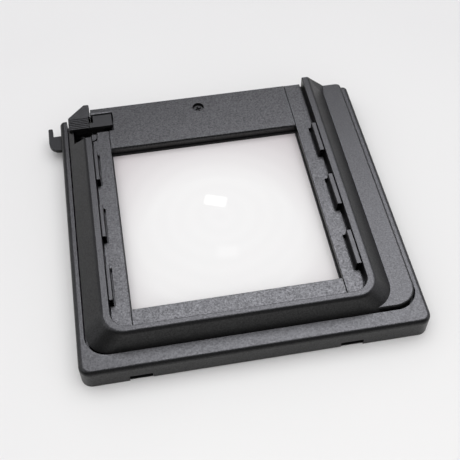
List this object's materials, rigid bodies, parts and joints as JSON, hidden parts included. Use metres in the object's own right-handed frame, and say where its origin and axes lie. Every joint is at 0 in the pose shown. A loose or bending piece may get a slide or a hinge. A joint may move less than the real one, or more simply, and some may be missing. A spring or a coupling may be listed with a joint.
{
  "type": "camera focusing screen adapter",
  "caption": "Square black adapter that carries a focusing screen between a camera body and a slide-on hood, with a rim-bounded bay, side guides and a thumb catch.",
  "frame": {"origin": "on the optical axis, at the centre of the square window, in the plane that rests on the camera", "axes": "+Z away from the camera towards the hood, +Y towards the open rear end of the bay, +X to the right seen from above with the open end away"},
  "size_m": [0.0938, 0.0892, 0.0122],
  "materials": {
    "moulded_black": "black moulded plastic with a fine grain",
    "moulded_plate": "black moulded plastic with a pebble grain",
    "black_spring": "blackened spring steel",
    "black_screw": "black oxide screws",
    "catch_black": "black plastic, fine ribs",
    "bar_black": "black enamel over brushed metal",
    "screen": "ground screen, matt face",
    "lens": "fine concentric grooves",
    "steel": "brushed steel",
    "black_plate": "black lacquered steel"
  },
  "bodies": {
    "frame": {"base_frame": "moulded_black", "top_cover": "moulded_black", "left_guide_plate": "moulded_plate", "right_guide_plate": "moulded_plate", "rear_cover_plate": "moulded_plate", "front_cover_plate": "moulded_plate", "left_finder_spring": "black_spring", "right_finder_spring": "black_spring", "rear_plate_screw": "black_screw", "focusing_screen": "screen", "fresnel_lens": "lens", "screen_frame": "black_plate", "screen_springs": "steel", "screen_spring_screws": "steel", "camera_plate": "black_plate", "camera_plate_screws": "steel", "support_slot_plates": "steel", "cover_screws": "black_screw", "catch_spring": "steel", "spring_pin": "steel"},
    "catch": {"thumb_catch": "catch_black", "latch_bar": "bar_black", "side_hook": "bar_black", "catch_rivets": "steel"}
  },
  "joints": [
    {"name": "catch_slide", "type": "slide", "parent": "frame", "child": "catch", "axis": [0, -1, 0], "range_m": [0, 0.002], "stiffness_N_per_m": 400, "springref_m": -0.002, "deforming": ["catch_spring"]}
  ]
}
